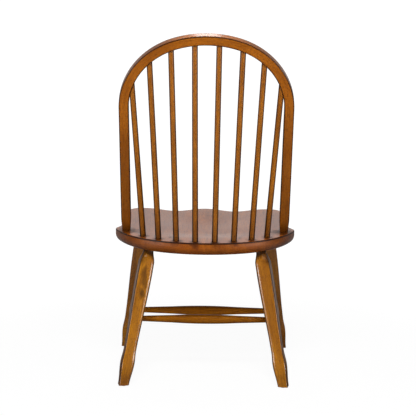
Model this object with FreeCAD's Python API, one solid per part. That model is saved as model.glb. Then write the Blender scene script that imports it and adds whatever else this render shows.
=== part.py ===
import FreeCAD, Part
import math
import os

from FreeCAD import Placement, Rotation, Vector

# A bow back side chair: a saddled seat of glued boards, a bent bow with eight
# fanned spindles, four splayed legs, and two side stretchers joined by two cross stretchers.
# Millimetres. +Z is up, the chair faces -Y, and +X is the sitter's left hand.

# Seat blank
SEAT_FRONT_HEIGHT = 438.0
SEAT_TILT = 1.72
SEAT_THICKNESS = 40.5
SEAT_BACK = 217.0
SEAT_FRONT = -228.0
SEAT_BACK_RADIUS = 360.0
SEAT_BACK_ARC_HALF = 120.0
SEAT_TIP_HALF = 266.5
SEAT_TIP_SETBACK = 177.0
SEAT_TIP_RADIUS = 30.0
WAIST_INSET = 18.0
WAIST_FORWARD = 33.0
WAIST_RADIUS = 50.0
SEAT_FRONT_HALF = 228.5
FRONT_CORNER_RADIUS = 30.0
UNDERSIDE_ROUND = 27.0
TOP_EDGE_ROUND = 2.5
BOARD_COUNT = 6
BOARD_WIDTH = 87.5

# Saddle shape of the seat's top
THIGH_HOLLOW_DEPTH = 8.0
THIGH_HOLLOW_WIDTH = 180.0
THIGH_HOLLOW_LENGTH = 258.0
DISH_DEPTH = 9.0
DISH_HALF_WIDTH = 195.0
DISH_REAR_MARGIN = 52.0
DISH_RAMP = 105.0
DISH_FRONT_RAMP = 200.0
SADDLE_GRID = 21

# Bow
BOW_FOOT_INSET = 34.8
BOW_FOOT_BEHIND_TIP = 20.7
BOW_LEAN = 21.0
BOW_HEIGHT = 633.5
BOW_SPREAD = 3.3
BOW_SHOULDER_INSET = 22.0
BOW_CROWN_EXTRA = 72.0
BOW_FACE = 29.0
BOW_THICKNESS = 22.0
BOW_EDGE_ROUND = 2.0
BOW_FOOT_TAPER = 42.0
BOW_FOOT_FACE = 22.7
BOW_FOOT_THICKNESS = 20.0
BOW_FOOT_ROUND = 4.0
BOW_TENON_DIAMETER = 18.0
BOW_TENON_LENGTH = 26.0

# Spindles
SPINDLE_PAIRS = 4
SPINDLE_INSET = 17.6
SPINDLE_ARC_RADIUS = 270.0
SPINDLE_PITCH = 12.0
SPINDLE_FAN_DEPTH = 2850.0
SPINDLE_FOOT_DIAMETER = 17.6
SPINDLE_DIAMETER = 17.2
SPINDLE_TOP_DIAMETER = 16.6
SPINDLE_FOOT_FLARE = 60.0
SPINDLE_SEAT_DEPTH = 16.0

# Legs
REAR_LEG_INSET = 82.0
REAR_LEG_SIDE_INSET = 103.0
REAR_LEG_SPLAY_ANGLE = 10.2
REAR_LEG_RAKE_ANGLE = 13.0
FRONT_LEG_INSET = 78.0
FRONT_LEG_SIDE_INSET = 81.5
FRONT_LEG_SPLAY_ANGLE = 7.9
FRONT_LEG_RAKE_ANGLE = 9.3
LEG_TURN_ANGLE = 10.0
LEG_NECK = 28.0
LEG_SHOULDER = 42.4
LEG_SHOULDER_DROP = 35.0
LEG_WIDEST = 43.4
LEG_WIDEST_DROP = 80.0
LEG_ANKLE = 33.8
LEG_ANKLE_RISE = 102.0
LEG_BULGE = 38.2
LEG_BULGE_RISE = 65.0
LEG_FOOT = 29.2
LEG_INNER_CORNER = 9.5
LEG_OUTER_CORNER = 3.5
LEG_SPARE = 12.0
LEG_CROWN = 1.0
LEG_STEPS = 3
ROUND_NECK = 0.48
LEG_TENON_DIAMETER = 24.0
LEG_TENON_LENGTH = 19.0

# Stretchers
STRETCHER_HEIGHT = 157.8
STRETCHER_END_DIAMETER = 17.0
STRETCHER_SWELL_START_DIAMETER = 22.5
STRETCHER_SWELL_DIAMETER = 28.0
STRETCHER_SWELL_HALF = 95.0
STRETCHER_SHORT_OF_LEG_LINE = 3.0
CROSS_STRETCHER_SPACING = 107.0
CROSS_END_DIAMETER = 15.0
CROSS_SHORT_OF_SIDE_LINE = 2.5

# Floor glides and bow screws
GLIDE_HEIGHT = 3.0
GLIDE_TOP_DIAMETER = 20.0
GLIDE_FLOOR_DIAMETER = 15.0
GLIDE_NAIL_DIAMETER = 2.6
GLIDE_NAIL_LENGTH = 16.0
SCREW_SHANK_DIAMETER = 4.0
SCREW_HEAD_DIAMETER = 8.4
SCREW_HEAD_HEIGHT = 2.6
SCREW_LENGTH = 28.0
SCREW_RECESS = 7.0
SCREW_RECESS_DIAMETER = 10.0

# Fits
GLUE_GAP = 0.15
SEAT_JOINT_GAP = 0.1
SOCKET_END_GAP = 1.0
DRIVEN_GAP = 0.05

LEFT = 1
RIGHT = -1
UP = Vector(0, 0, 1)
BIG = 2000.0

SEAT_ANGLE = math.radians(SEAT_TILT)
SEAT_MIDDLE_HEIGHT = SEAT_FRONT_HEIGHT + SEAT_FRONT * math.tan(SEAT_ANGLE)
SEAT_TIP_Y = SEAT_BACK - SEAT_TIP_SETBACK
SEAT_PLACEMENT = Placement(Vector(0, 0, SEAT_MIDDLE_HEIGHT), Rotation(Vector(1, 0, 0), -SEAT_TILT))

BOW_ANGLE = math.radians(BOW_LEAN)
BOW_FOOT_HALF = SEAT_TIP_HALF - BOW_FOOT_INSET
BOW_HALF = BOW_FOOT_HALF + BOW_SPREAD
BOW_SHOULDER_RADIUS = BOW_HALF - BOW_SHOULDER_INSET
BOW_CROWN_RADIUS = BOW_SHOULDER_RADIUS + BOW_CROWN_EXTRA
BOW_CROWN_CENTRE = BOW_HEIGHT - BOW_CROWN_RADIUS
BOW_SHOULDER_CENTRE = BOW_CROWN_CENTRE + math.sqrt(BOW_CROWN_EXTRA**2 - BOW_SHOULDER_INSET**2)
BOW_JOIN_ANGLE = math.atan2(BOW_SHOULDER_CENTRE - BOW_CROWN_CENTRE, BOW_SHOULDER_INSET)


def on_seat(x, y, z=0.0):
    """A point given in the seat's own tilted frame, where z = 0 is its flat top."""
    return SEAT_PLACEMENT.multVec(Vector(x, y, z))


BOW_ORIGIN = on_seat(0, SEAT_TIP_Y + BOW_FOOT_BEHIND_TIP)


def on_bow(x, s):
    """A point on the bow's middle plane, s millimetres up its slope from the seat."""
    return BOW_ORIGIN + Vector(x, s * math.sin(BOW_ANGLE), s * math.cos(BOW_ANGLE))


def unit(vector):
    """The vector's direction."""
    result = Vector(vector)
    result.normalize()
    return result


def line(start, end):
    """A straight edge."""
    return Part.LineSegment(start, end).toShape()


def arc(start, middle, end):
    """An arc through three points."""
    return Part.Arc(start, middle, end).toShape()


def arc_about(centre, start, end):
    """The shorter arc from start to end about centre."""
    radius = (start - centre).Length
    middle = centre + unit((start - centre) + (end - centre)) * radius
    return arc(start, middle, end)


def half_space(placement, side):
    """A large block above (side = 1) or below (side = -1) the placement's XY plane."""
    block = Part.makeBox(BIG, BIG, BIG, Vector(-BIG / 2, -BIG / 2, 0 if side > 0 else -BIG))
    block.Placement = placement
    return block


def mirrored_x(shape):
    """The shape's mirror image on the chair's other side."""
    return shape.mirror(Vector(0, 0, 0), Vector(1, 0, 0))


# Seat outline


def corner_tangents(before, corner, after, radius):
    """Where a round of the given radius leaves and joins the two lines of a corner."""
    to_before = unit(before - corner)
    to_after = unit(after - corner)
    half_angle = to_before.getAngle(to_after) / 2
    reach = radius / math.tan(half_angle)
    first = corner + to_before * reach
    last = corner + to_after * reach
    centre = corner + unit(to_before + to_after) * (radius / math.sin(half_angle))
    return first, centre, last


def tip_tangents(arc_centre, arc_radius, corner, after, radius):
    """The same for the tip, where the rear arc meets the line to the waist."""
    along = unit(after - corner)
    inward = Vector(along.y, -along.x, 0)
    start = corner + inward * radius - arc_centre
    half_b = start.dot(along)
    reach = -half_b - math.sqrt(half_b**2 - start.dot(start) + (arc_radius - radius) ** 2)
    centre = arc_centre + start + along * reach
    first = arc_centre + unit(centre - arc_centre) * arc_radius
    last = centre - inward * radius
    return first, centre, last


def seat_outline_half():
    """Edges from the middle of the back, round the left side, to the middle of the front."""
    back = Vector(0, SEAT_BACK, 0)
    back_centre = Vector(0, SEAT_BACK - SEAT_BACK_RADIUS, 0)
    rise = math.sqrt(SEAT_BACK_RADIUS**2 - SEAT_BACK_ARC_HALF**2)
    join = back_centre + Vector(SEAT_BACK_ARC_HALF, rise, 0)
    outward = unit(join - back_centre)
    tip = Vector(SEAT_TIP_HALF, SEAT_TIP_Y, 0)
    chord = tip - join
    side_radius = chord.dot(chord) / (-2 * chord.dot(outward))
    side_centre = join - outward * side_radius
    waist = tip + Vector(-WAIST_INSET, -WAIST_FORWARD, 0)
    corner = Vector(SEAT_FRONT_HALF, SEAT_FRONT, 0)
    front = Vector(0, SEAT_FRONT, 0)
    tip_in, tip_centre, tip_out = tip_tangents(side_centre, side_radius, tip, waist, SEAT_TIP_RADIUS)
    waist_in, waist_centre, waist_out = corner_tangents(tip, waist, corner, WAIST_RADIUS)
    corner_in, corner_centre, corner_out = corner_tangents(waist, corner, front, FRONT_CORNER_RADIUS)
    return [
        arc_about(back_centre, back, join),
        arc_about(side_centre, join, tip_in),
        arc_about(tip_centre, tip_in, tip_out),
        line(tip_out, waist_in),
        arc_about(waist_centre, waist_in, waist_out),
        line(waist_out, corner_in),
        arc_about(corner_centre, corner_in, corner_out),
        line(corner_out, front),
    ]


def ramp(value, start, end):
    """Rises smoothly from 0 at start to 1 at end."""
    share = min(1.0, max(0.0, (value - start) / (end - start)))
    return 0.5 - 0.5 * math.cos(math.pi * share)


def saddle_depth(x, y):
    """How far the seat's top lies below its flat rim."""
    hollow = 0.0
    if abs(x) < THIGH_HOLLOW_WIDTH:
        hollow = THIGH_HOLLOW_DEPTH * math.sin(math.pi * x / THIGH_HOLLOW_WIDTH) ** 2
    dish = 0.0
    if abs(x) < DISH_HALF_WIDTH:
        dish = DISH_DEPTH * math.cos(math.pi * x / (2 * DISH_HALF_WIDTH)) ** 2
    dish_end = SEAT_BACK - DISH_REAR_MARGIN
    towards_front = 1 - ramp(y, SEAT_FRONT, SEAT_FRONT + THIGH_HOLLOW_LENGTH)
    in_dish = ramp(y, SEAT_FRONT, SEAT_FRONT + DISH_FRONT_RAMP) * (1 - ramp(y, dish_end - DISH_RAMP, dish_end))
    return towards_front * hollow + in_dish * dish


def saddle_cutter(height):
    """The space above the seat's saddled top, up to the given height."""
    margin = UNDERSIDE_ROUND
    half = SEAT_TIP_HALF + margin
    low = SEAT_FRONT - margin
    high = SEAT_BACK + margin
    rows = []
    for i in range(SADDLE_GRID):
        x = -half + 2 * half * i / (SADDLE_GRID - 1)
        row = []
        for j in range(SADDLE_GRID):
            y = low + (high - low) * j / (SADDLE_GRID - 1)
            row.append(Vector(x, y, -saddle_depth(x, y)))
        rows.append(row)
    surface = Part.BSplineSurface()
    surface.interpolate(rows)
    return surface.toShape().extrude(UP * height)


def seat_blank():
    """The whole seat before the boards are told apart, in its own frame."""
    half = seat_outline_half()
    other = [mirrored_x(edge) for edge in half]
    outline = Part.Wire(Part.__sortEdges__(half + other))
    spare = DISH_DEPTH
    blank = Part.Face(outline).extrude(UP * (SEAT_THICKNESS + spare))
    blank.translate(Vector(0, 0, -SEAT_THICKNESS))
    bottom = [edge for edge in blank.Edges if edge.BoundBox.ZMax < -SEAT_THICKNESS / 2]
    blank = blank.makeFillet(UNDERSIDE_ROUND, bottom)
    seat = blank.cut(saddle_cutter(3 * spare)).Solids[0]
    top = [edge for edge in seat.Edges if edge.BoundBox.ZMin > -(SEAT_THICKNESS - UNDERSIDE_ROUND)]
    return seat.makeFillet(TOP_EDGE_ROUND, top)


# Bow


def bow_edges():
    """The bow's middle line from the left foot over the crown to the right foot."""
    shoulder = Vector(BOW_SHOULDER_INSET, BOW_SHOULDER_CENTRE, 0)
    foot = Vector(BOW_FOOT_HALF, 0, 0)
    reach = (foot - shoulder).Length
    start_angle = math.atan2(foot.y - shoulder.y, foot.x - shoulder.x)
    start_angle += math.acos(BOW_SHOULDER_RADIUS / reach)
    points = []
    for angle in (start_angle, (start_angle + BOW_JOIN_ANGLE) / 2, BOW_JOIN_ANGLE):
        x = shoulder.x + BOW_SHOULDER_RADIUS * math.cos(angle)
        s = shoulder.y + BOW_SHOULDER_RADIUS * math.sin(angle)
        points.append((x, s))
    return foot, points


def bow_leg_direction():
    """The direction of the bow's straight left leg, from the foot upwards."""
    foot, points = bow_edges()
    return unit(on_bow(*points[0]) - on_bow(foot.x, foot.y))


def rounded_rectangle(centre, across, through, width, depth, corner, crown=0.0, outer=None):
    """A closed wire of four sides, each bowed out by crown, and four round corners.

    The two corners that lie towards across get the radius outer, where one is given.
    """
    half_width = width / 2
    half_depth = depth / 2
    radius_of = {1: corner if outer is None else outer, -1: corner}

    def point(x, y):
        return centre + across * x + through * y

    edges = []
    corners = [(1, 1), (-1, 1), (-1, -1), (1, -1)]
    for index, (sx, sy) in enumerate(corners):
        along_x = index % 2 == 0
        radius = radius_of[sx]
        diagonal = radius * (1 - math.sqrt(0.5))
        first = point(sx * half_width, sy * (half_depth - radius))
        last = point(sx * (half_width - radius), sy * half_depth)
        if not along_x:
            first, last = last, first
        middle = point(sx * (half_width - diagonal), sy * (half_depth - diagonal))
        edges.append(arc(first, middle, last))
        nx, ny = corners[(index + 1) % 4]
        next_radius = radius_of[nx]
        if along_x:
            end = point(nx * (half_width - next_radius), ny * half_depth)
            bulge = point(0, sy * (half_depth + crown))
        else:
            end = point(nx * half_width, ny * (half_depth - next_radius))
            bulge = point(sx * (half_width + crown), 0)
        edges.append(arc(last, bulge, end) if crown > 0 else line(last, end))
    return Part.Wire(edges)


def bow_foot(side):
    """The tapered end of the bow on one side, cut flat on the seat, with its round tenon."""
    lift = bow_leg_direction()
    across = Vector(1, 0, 0) - lift * lift.x
    across.normalize()
    through = lift.cross(across)
    start = on_bow(BOW_FOOT_HALF, 0)
    full = start + lift * BOW_FOOT_TAPER
    below = start - lift * BOW_THICKNESS / 2
    body = Part.makeLoft(
        [
            rounded_rectangle(full, across, through, BOW_FACE, BOW_THICKNESS, BOW_EDGE_ROUND),
            rounded_rectangle(below, across, through, BOW_FOOT_FACE, BOW_FOOT_THICKNESS, BOW_FOOT_ROUND),
        ],
        True,
        True,
    )
    body = body.cut(half_space(Placement(on_seat(0, 0, SEAT_JOINT_GAP), SEAT_PLACEMENT.Rotation), -1))
    tenon_start = start + lift * BOW_FOOT_TAPER / 2
    tenon_length = BOW_TENON_LENGTH + BOW_FOOT_TAPER / 2
    tenon = Part.makeCylinder(BOW_TENON_DIAMETER / 2, tenon_length, tenon_start, -lift)
    foot = body.fuse(tenon)
    return foot if side == LEFT else mirrored_x(foot)


def bow_rail():
    """The bent rail between the two tapered feet."""
    foot, shoulder = bow_edges()
    lift = bow_leg_direction()
    start = on_bow(BOW_FOOT_HALF, 0) + lift * BOW_FOOT_TAPER
    left = [on_bow(x, s) for x, s in shoulder]
    right = [on_bow(-x, s) for x, s in shoulder]
    end = Vector(-start.x, start.y, start.z)
    crown = on_bow(0, BOW_HEIGHT)
    path = Part.Wire(
        [
            line(start, left[0]),
            arc(left[0], left[1], left[2]),
            arc(left[2], crown, right[2]),
            arc(right[2], right[1], right[0]),
            line(right[0], end),
        ]
    )
    across = Vector(1, 0, 0) - lift * lift.x
    across.normalize()
    through = lift.cross(across)
    section = rounded_rectangle(start, across, through, BOW_FACE, BOW_THICKNESS, BOW_EDGE_ROUND)
    return path.makePipeShell([section], True, False)


def bow():
    """The whole bow, before its sockets are drilled."""
    return bow_rail().fuse([bow_foot(LEFT), bow_foot(RIGHT)]).removeSplitter()


def bow_tenon_socket(side):
    """The hole in the seat for one bow tenon."""
    lift = bow_leg_direction()
    mouth = on_bow(BOW_FOOT_HALF, 0) + lift * BOW_TENON_DIAMETER
    radius = BOW_TENON_DIAMETER / 2 + GLUE_GAP
    depth = BOW_TENON_LENGTH + SOCKET_END_GAP + BOW_TENON_DIAMETER
    hole = Part.makeCylinder(radius, depth, mouth, -lift)
    return hole if side == LEFT else mirrored_x(hole)


# Spindles


def bow_point(angle, inset):
    """The point of the bow's middle line, or of one inset from it, at an angle up its arcs."""
    if angle >= BOW_JOIN_ANGLE:
        radius = BOW_CROWN_RADIUS - inset
        return radius * math.cos(angle), BOW_CROWN_CENTRE + radius * math.sin(angle)
    radius = BOW_SHOULDER_RADIUS - inset
    x = BOW_SHOULDER_INSET + radius * math.cos(angle)
    return x, BOW_SHOULDER_CENTRE + radius * math.sin(angle)


def fan_point(base_x, inset):
    """Where the fan line that starts at base_x crosses the bow, at an inset from its middle line."""
    low = 0.0
    high = math.pi / 2
    for _ in range(60):
        angle = (low + high) / 2
        x, s = bow_point(angle, inset)
        if x > base_x * (1 + s / SPINDLE_FAN_DEPTH):
            low = angle
        else:
            high = angle
    return on_bow(*bow_point(high, inset))


def spindle_ends(index):
    """Where the middle line of the left spindle number index leaves the seat and ends in the bow.

    The line runs through the middle of the bow's inner face, where its socket is drilled.
    """
    turn = math.radians(SPINDLE_PITCH * (index + 0.5))
    arc_centre = SEAT_BACK - SPINDLE_INSET - SPINDLE_ARC_RADIUS
    base_x = SPINDLE_ARC_RADIUS * math.sin(turn)
    base = on_seat(base_x, arc_centre + SPINDLE_ARC_RADIUS * math.cos(turn))
    mouth = fan_point(base_x, BOW_FACE / 2)
    depth = (fan_point(base_x, 0.0) - mouth).Length
    return base, mouth + unit(mouth - base) * depth


def spindle(index, side, grow=0.0, longer=0.0):
    """A turned spindle, or with grow and longer the space that it is let into."""
    base, top = spindle_ends(index)
    axis = unit(top - base)
    start = base - axis * (SPINDLE_SEAT_DEPTH + longer)
    flare = base + axis * SPINDLE_FOOT_FLARE
    end = top + axis * longer
    foot_length = SPINDLE_SEAT_DEPTH + longer
    foot_radius = SPINDLE_FOOT_DIAMETER / 2 + grow
    radius = SPINDLE_DIAMETER / 2 + grow
    top_radius = SPINDLE_TOP_DIAMETER / 2 + grow
    foot = Part.makeCylinder(foot_radius, foot_length, start, axis)
    lower = Part.makeCone(foot_radius, radius, SPINDLE_FOOT_FLARE, base, axis)
    upper = Part.makeCone(radius, top_radius, (end - flare).Length, flare, axis)
    body = foot.fuse([lower, upper])
    return body if side == LEFT else mirrored_x(body)


# Legs


def leg_line(rear):
    """The top of a left leg's middle line, under the seat, and its foot on the glide."""
    if rear:
        x = SEAT_TIP_HALF - REAR_LEG_SIDE_INSET
        y = SEAT_BACK - REAR_LEG_INSET
        splay = REAR_LEG_SPLAY_ANGLE
        rake = REAR_LEG_RAKE_ANGLE
    else:
        x = SEAT_TIP_HALF - FRONT_LEG_SIDE_INSET
        y = SEAT_FRONT + FRONT_LEG_INSET
        splay = FRONT_LEG_SPLAY_ANGLE
        rake = -FRONT_LEG_RAKE_ANGLE
    top = on_seat(x, y, -SEAT_THICKNESS)
    drop = top.z - GLIDE_HEIGHT
    run_x = drop * math.tan(math.radians(splay))
    run_y = drop * math.tan(math.radians(rake))
    return top, Vector(top.x + run_x, top.y + run_y, GLIDE_HEIGHT)


def leg_at_height(rear, height):
    """The point of a left leg's middle line at a height."""
    top, foot = leg_line(rear)
    return foot + (top - foot) * ((height - foot.z) / (top.z - foot.z))


def leg_profile(length):
    """Distance down the leg's middle line and width at each change of its taper."""
    return [
        (0.0, LEG_NECK),
        (LEG_SHOULDER_DROP, LEG_SHOULDER),
        (LEG_WIDEST_DROP, LEG_WIDEST),
        (length - LEG_ANKLE_RISE, LEG_ANKLE),
        (length - LEG_BULGE_RISE, LEG_BULGE),
        (length, LEG_FOOT),
    ]


def leg_stations(length):
    """Distance down the leg, width and inner and outer corner radius of each section."""
    neck_corner = LEG_NECK * ROUND_NECK
    stations = [(-LEG_SPARE, LEG_NECK, neck_corner, neck_corner)]
    profile = leg_profile(length)
    for (upper, from_width), (lower, to_width) in zip(profile, profile[1:]):
        for step in range(LEG_STEPS):
            along = upper + (lower - upper) * step / LEG_STEPS
            width = from_width + (to_width - from_width) * ramp(along, upper, lower)
            squareness = ramp(along, 0.0, LEG_SHOULDER_DROP)
            corners = []
            for corner in (LEG_INNER_CORNER, LEG_OUTER_CORNER):
                round_corner = width * ROUND_NECK
                square_corner = corner * width / LEG_WIDEST
                corners.append(round_corner + (square_corner - round_corner) * squareness)
            stations.append((along, width, *corners))
    share = LEG_FOOT / LEG_WIDEST
    for along in (length, length + LEG_SPARE):
        stations.append((along, LEG_FOOT, LEG_INNER_CORNER * share, LEG_OUTER_CORNER * share))
    return stations


def leg_directions(rear):
    """The left leg's downward line and the two directions that its faces look in."""
    top, foot = leg_line(rear)
    down = unit(foot - top)
    back = Vector(0, 1, 0) - down * down.y
    back.normalize()
    out = back.cross(down)
    if out.x < 0:
        out = -out
    turn = math.radians(LEG_TURN_ANGLE if rear else -LEG_TURN_ANGLE)
    face_back = back * math.cos(turn) - out * math.sin(turn)
    face_out = out * math.cos(turn) + back * math.sin(turn)
    return down, face_out, face_back


def leg(rear, side):
    """A leg from its round tenon to the flat foot, before its sockets are drilled."""
    top, foot = leg_line(rear)
    down, face_out, face_back = leg_directions(rear)
    sections = []
    for along, width, inner, outer in leg_stations((foot - top).Length):
        centre = top + down * along
        crown = LEG_CROWN * width / LEG_WIDEST
        sections.append(rounded_rectangle(centre, face_out, face_back, width, width, inner, crown, outer))
    body = Part.makeLoft(sections, True, False)
    under_seat = Placement(on_seat(0, 0, -SEAT_THICKNESS - SEAT_JOINT_GAP), SEAT_PLACEMENT.Rotation)
    body = body.cut(half_space(under_seat, 1))
    body = body.cut(half_space(Placement(Vector(0, 0, GLIDE_HEIGHT), Rotation()), -1))
    tenon_start = top + down * LEG_TENON_DIAMETER / 2
    tenon_length = LEG_TENON_LENGTH + LEG_TENON_DIAMETER / 2
    tenon = Part.makeCylinder(LEG_TENON_DIAMETER / 2, tenon_length, tenon_start, -down)
    shape = body.fuse(tenon)
    return shape if side == LEFT else mirrored_x(shape)


def leg_tenon_socket(rear, side):
    """The blind hole in the seat's underside for one leg."""
    top, foot = leg_line(rear)
    up = unit(top - foot)
    mouth = top - up * LEG_TENON_DIAMETER
    depth = LEG_TENON_LENGTH + SOCKET_END_GAP + LEG_TENON_DIAMETER
    hole = Part.makeCylinder(LEG_TENON_DIAMETER / 2 + GLUE_GAP, depth, mouth, up)
    return hole if side == LEFT else mirrored_x(hole)


# Stretchers


def turned_stretcher(start, end, end_diameter, grow=0.0, longer=0.0):
    """A rod that swells to its middle, or with grow and longer the space it is let into."""
    axis = unit(end - start)
    length = (end - start).Length
    end_radius = end_diameter / 2 + grow
    start_radius = STRETCHER_SWELL_START_DIAMETER / 2 + grow
    swell_radius = STRETCHER_SWELL_DIAMETER / 2 + grow
    middle = length / 2
    swell = STRETCHER_SWELL_HALF
    tips = [Vector(-longer, 0, 0), Vector(-longer, 0, end_radius), Vector(0, 0, end_radius)]
    other_tips = [Vector(length - tip.x, 0, tip.z) for tip in reversed(tips)]
    first = Vector(middle - swell, 0, start_radius)
    last = Vector(middle + swell, 0, start_radius)
    outline = [line(tips[0], tips[1])]
    if longer > 0:
        outline.append(line(tips[1], tips[2]))
    outline.append(line(tips[2], first))
    outline.append(arc(first, Vector(middle, 0, swell_radius), last))
    outline.append(line(last, other_tips[0]))
    if longer > 0:
        outline.append(line(other_tips[0], other_tips[1]))
    outline.append(line(other_tips[1], other_tips[2]))
    outline.append(line(other_tips[2], tips[0]))
    rod = Part.Face(Part.Wire(outline)).revolve(Vector(0, 0, 0), Vector(1, 0, 0), 360)
    rod.Placement = Placement(start, Rotation(Vector(1, 0, 0), axis))
    return rod


def side_stretcher_line():
    """The middle line of the left side stretcher, from leg line to leg line."""
    return leg_at_height(False, STRETCHER_HEIGHT), leg_at_height(True, STRETCHER_HEIGHT)


def side_stretcher(side, grow=0.0, longer=0.0):
    """A side stretcher between a front and a rear leg."""
    front, rear = side_stretcher_line()
    axis = unit(rear - front)
    start = front + axis * STRETCHER_SHORT_OF_LEG_LINE
    end = rear - axis * STRETCHER_SHORT_OF_LEG_LINE
    rod = turned_stretcher(start, end, STRETCHER_END_DIAMETER, grow, longer)
    return rod if side == LEFT else mirrored_x(rod)


def cross_stretcher(place, grow=0.0, longer=0.0):
    """A cross stretcher between the side stretchers, in front (-1) or behind (1) the middle."""
    front, rear = side_stretcher_line()
    axis = unit(rear - front)
    meeting = (front + rear) / 2 + axis * (place * CROSS_STRETCHER_SPACING / 2)
    half = meeting.x - CROSS_SHORT_OF_SIDE_LINE
    start = Vector(-half, meeting.y, meeting.z)
    end = Vector(half, meeting.y, meeting.z)
    return turned_stretcher(start, end, CROSS_END_DIAMETER, grow, longer)


# Glides and screws


def glide(rear, side, grow=0.0):
    """A domed floor glide with its nail, or with grow the hole that its nail is driven into."""
    _, foot = leg_line(rear)
    centre = Vector(foot.x, foot.y, 0)
    nail_radius = GLIDE_NAIL_DIAMETER / 2 + grow
    nail_length = GLIDE_NAIL_LENGTH + (SOCKET_END_GAP if grow > 0 else 0)
    nail = Part.makeCylinder(nail_radius, nail_length, centre + UP * GLIDE_HEIGHT, UP)
    if grow == 0:
        disc = Part.makeCone(GLIDE_FLOOR_DIAMETER / 2, GLIDE_TOP_DIAMETER / 2, GLIDE_HEIGHT, centre, UP)
        nail = disc.fuse(nail)
    return nail if side == LEFT else mirrored_x(nail)


def bow_screw_line():
    """The bottom of the left bow screw's head seat, under the seat, and the way it points."""
    lift = bow_leg_direction()
    seat_up = SEAT_PLACEMENT.Rotation.multVec(UP)
    through_seat = SEAT_THICKNESS / lift.dot(seat_up)
    return on_bow(BOW_FOOT_HALF, 0) - lift * through_seat, lift


def bow_screw(side):
    """A pan head screw that draws the bow's tenon into the seat from beneath."""
    entry, lift = bow_screw_line()
    head_top = entry + lift * SCREW_RECESS
    head = Part.makeCylinder(SCREW_HEAD_DIAMETER / 2, SCREW_HEAD_HEIGHT, head_top, -lift)
    shank = Part.makeCylinder(SCREW_SHANK_DIAMETER / 2, SCREW_LENGTH, head_top, lift)
    screw = head.fuse(shank)
    return screw if side == LEFT else mirrored_x(screw)


def bow_screw_hole(side):
    """The stepped hole for one bow screw, through the seat and into the tenon."""
    entry, lift = bow_screw_line()
    ledge = entry + lift * SCREW_RECESS
    recess = Part.makeCylinder(SCREW_RECESS_DIAMETER / 2, 2 * SCREW_RECESS, ledge, -lift)
    radius = SCREW_SHANK_DIAMETER / 2 + DRIVEN_GAP
    shank = Part.makeCylinder(radius, SCREW_LENGTH + SOCKET_END_GAP, ledge, lift)
    hole = recess.fuse(shank)
    return hole if side == LEFT else mirrored_x(hole)


# Joinery and assembly


def seat_sockets():
    """Every hole that is drilled into the seat."""
    holes = []
    for side in (LEFT, RIGHT):
        holes.append(bow_tenon_socket(side))
        holes.append(bow_screw_hole(side))
        for rear in (True, False):
            holes.append(leg_tenon_socket(rear, side))
        for index in range(SPINDLE_PAIRS):
            holes.append(spindle(index, side, GLUE_GAP, SOCKET_END_GAP))
    return holes


def seat_boards():
    """The glued boards of the seat, from the right side to the left."""
    seat = seat_blank()
    seat.Placement = SEAT_PLACEMENT
    seat = seat.cut(seat_sockets())
    boards = []
    for index in range(BOARD_COUNT):
        left_edge = (index + 1 - BOARD_COUNT / 2) * BOARD_WIDTH
        right_edge = left_edge - BOARD_WIDTH
        if index == 0:
            right_edge = -BIG / 2
        if index == BOARD_COUNT - 1:
            left_edge = BIG / 2
        slab = Part.makeBox(left_edge - right_edge, BIG, BIG, Vector(right_edge, -BIG / 2, -BIG / 2))
        boards.append(seat.common(slab))
    return boards


def drilled_bow():
    """The bow with the spindles' and screws' sockets."""
    holes = []
    for side in (LEFT, RIGHT):
        holes.append(bow_screw_hole(side))
        for index in range(SPINDLE_PAIRS):
            holes.append(spindle(index, side, GLUE_GAP, SOCKET_END_GAP))
    return bow().cut(holes)


def drilled_leg(rear, side):
    """A leg with the sockets for its side stretcher and its glide's nail."""
    holes = [side_stretcher(side, GLUE_GAP, SOCKET_END_GAP), glide(rear, side, DRIVEN_GAP)]
    return leg(rear, side).cut(holes)


def drilled_side_stretcher(side):
    """A side stretcher with the sockets for both cross stretchers."""
    holes = [cross_stretcher(place, GLUE_GAP, SOCKET_END_GAP) for place in (-1, 1)]
    return side_stretcher(side).cut(holes)


def build_pieces():
    """Every piece of the chair by name."""
    pieces = {}
    for number, board in enumerate(seat_boards(), start=1):
        pieces[f"seat_board_{number}"] = board
    pieces["bow"] = drilled_bow()
    for index in range(SPINDLE_PAIRS):
        pieces[f"spindle_left_{index + 1}"] = spindle(index, LEFT)
        pieces[f"spindle_right_{index + 1}"] = spindle(index, RIGHT)
    for side, side_name in ((LEFT, "left"), (RIGHT, "right")):
        for rear, place in ((False, "front"), (True, "rear")):
            pieces[f"leg_{place}_{side_name}"] = drilled_leg(rear, side)
            pieces[f"glide_{place}_{side_name}"] = glide(rear, side)
        pieces[f"side_stretcher_{side_name}"] = drilled_side_stretcher(side)
    pieces["cross_stretcher_front"] = cross_stretcher(-1)
    pieces["cross_stretcher_rear"] = cross_stretcher(1)
    pieces["bow_screws"] = Part.makeCompound([bow_screw(LEFT), bow_screw(RIGHT)])
    return pieces


def main():
    """Centre the chair over its footprint and write one file per piece."""
    os.makedirs("parts", exist_ok=True)
    pieces = build_pieces()
    box = Part.makeCompound(list(pieces.values())).optimalBoundingBox(False, False)
    shift = Vector(-(box.XMin + box.XMax) / 2, -(box.YMin + box.YMax) / 2, -box.ZMin)
    for name, piece in pieces.items():
        piece.translate(shift)
        piece.exportStep(f"parts/{name}.step")


main()
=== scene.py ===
"""The looks of a bow back chair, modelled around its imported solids.

The chair stands on z = 0 with its back towards +Y and its left side towards +X.
Every size is in metres and every angle in degrees.
"""

import logging
import math
from dataclasses import dataclass
from enum import Enum
from typing import Callable, Union

import bmesh
import bpy
from mathutils import Matrix, Vector


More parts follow.
